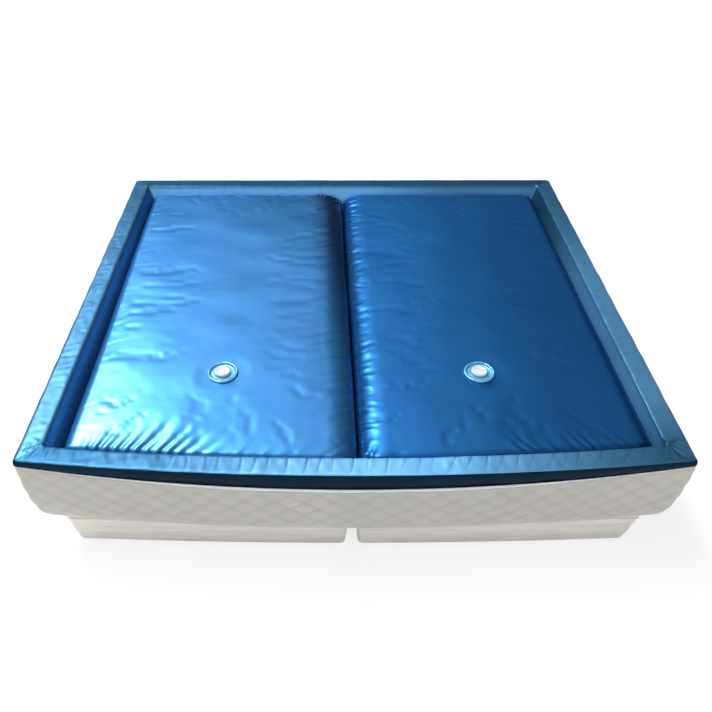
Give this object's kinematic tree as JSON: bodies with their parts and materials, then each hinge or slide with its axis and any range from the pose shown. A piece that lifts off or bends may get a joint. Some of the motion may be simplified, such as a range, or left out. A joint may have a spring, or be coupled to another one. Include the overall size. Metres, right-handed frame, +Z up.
{
  "type": "softside waterbed",
  "caption": "Double softside waterbed: two vinyl water cores with screw-cap filling valves in a lined foam tub, quilted lower cover with zip, on a split fabric-covered base.",
  "frame": {"origin": "on the floor, under the middle of the bed's bounding box", "axes": "+Z up, -Y towards the foot end with the bowed front, +X to the right of someone who stands at the foot end"},
  "size_m": [2.2, 2.0686, 0.4711],
  "materials": {
    "cover_fabric": "beige diamond-quilted knit",
    "zip_tape": "white woven tape with coil teeth",
    "zip_metal": "satin nickel",
    "liner_vinyl": "satin blue sheet vinyl",
    "rail_foam": "open-cell foam",
    "heater_pad": "dark vinyl",
    "core_vinyl": "glossy blue vinyl",
    "water": "clear water",
    "fleece": "white fibre fleece",
    "valve_vinyl": "moulded blue vinyl",
    "valve_cap": "white moulded plastic",
    "seal_rubber": "black rubber",
    "base_board": "plywood",
    "deck_board": "chipboard",
    "base_fabric": "beige upholstery fabric",
    "wadding": "polyester wadding",
    "glide": "black plastic"
  },
  "bodies": {
    "bed": {"cover_lower": "cover_fabric", "zip_tape": "zip_tape", "liner": "liner_vinyl", "foam_floor_pad": "rail_foam", "rail_front": "rail_foam", "rail_rear": "rail_foam", "rail_left": "rail_foam", "rail_right": "rail_foam", "divider_wedge": "rail_foam", "heater_pad_left": "heater_pad", "heater_pad_right": "heater_pad", "heater_lead_block_left": "heater_pad", "heater_lead_block_right": "heater_pad", "core_bladder_left": "core_vinyl", "core_bladder_right": "core_vinyl", "core_water_left": "water", "core_water_right": "water", "core_fleece_left": "fleece", "core_fleece_right": "fleece", "valve_neck_left": "valve_vinyl", "valve_neck_right": "valve_vinyl", "base_front_board_left": "base_board", "base_front_board_right": "base_board", "base_rear_board_left": "base_board", "base_rear_board_right": "base_board", "base_cross_board_1_left": "base_board", "base_cross_board_1_right": "base_board", "base_cross_board_2_left": "base_board", "base_cross_board_2_right": "base_board", "base_inner_board_left": "base_board", "base_inner_board_right": "base_board", "base_middle_board_left": "base_board", "base_middle_board_right": "base_board", "base_outer_board_left": "base_board", "base_outer_board_right": "base_board", "base_deck_front_left": "deck_board", "base_deck_front_right": "deck_board", "base_deck_rear_left": "deck_board", "base_deck_rear_right": "deck_board", "base_skirt_left": "base_fabric", "base_skirt_right": "base_fabric", "base_wadding_left": "wadding", "base_wadding_right": "wadding", "base_glide_front_inner_left": "glide", "base_glide_front_inner_right": "glide", "base_glide_front_outer_left": "glide", "base_glide_front_outer_right": "glide", "base_glide_rear_inner_left": "glide", "base_glide_rear_inner_right": "glide", "base_glide_rear_outer_left": "glide", "base_glide_rear_outer_right": "glide"},
    "seal_left": {"valve_seal_left": "seal_rubber"},
    "seal_right": {"valve_seal_right": "seal_rubber"},
    "cap_left": {"valve_cap_left": "valve_cap"},
    "cap_right": {"valve_cap_right": "valve_cap"},
    "plug_left": {"valve_plug_left": "valve_cap"},
    "plug_right": {"valve_plug_right": "valve_cap"},
    "zip_slider": {"zip_slider": "zip_metal"},
    "pull_tab": {"zip_pull_tab": "zip_metal"}
  },
  "joints": [
    {"name": "cap_lift_left", "type": "slide", "parent": "bed", "child": "seal_left", "axis": [0, 0, 1], "range_m": [0, 0.045]},
    {"name": "cap_turn_left", "type": "hinge", "parent": "seal_left", "child": "cap_left", "pos_m": [-0.47, -0.5294, 0.4659], "axis": [0, 0, 1], "range_deg": [0, 540]},
    {"name": "plug_pull_left", "type": "slide", "parent": "bed", "child": "plug_left", "axis": [0, 0, 1], "range_m": [0, 0.018]},
    {"name": "cap_lift_right", "type": "slide", "parent": "bed", "child": "seal_right", "axis": [0, 0, 1], "range_m": [0, 0.045]},
    {"name": "cap_turn_right", "type": "hinge", "parent": "seal_right", "child": "cap_right", "pos_m": [0.47, -0.5294, 0.4659], "axis": [0, 0, 1], "range_deg": [0, 540]},
    {"name": "plug_pull_right", "type": "slide", "parent": "bed", "child": "plug_right", "axis": [0, 0, 1], "range_m": [0, 0.018]},
    {"name": "zip_run", "type": "slide", "parent": "bed", "child": "zip_slider", "axis": [1, 0, 0], "range_m": [0, 1.92]},
    {"name": "pull_tab_swing", "type": "hinge", "parent": "zip_slider", "child": "pull_tab", "pos_m": [-0.96, 1.0323, 0.418], "axis": [1, 0, 0], "range_deg": [0, 150]}
  ],
  "couplings": [
    {"joint": "plug_pull_left", "follows": "cap_lift_left", "ratio": 0.4},
    {"joint": "plug_pull_right", "follows": "cap_lift_right", "ratio": 0.4}
  ]
}
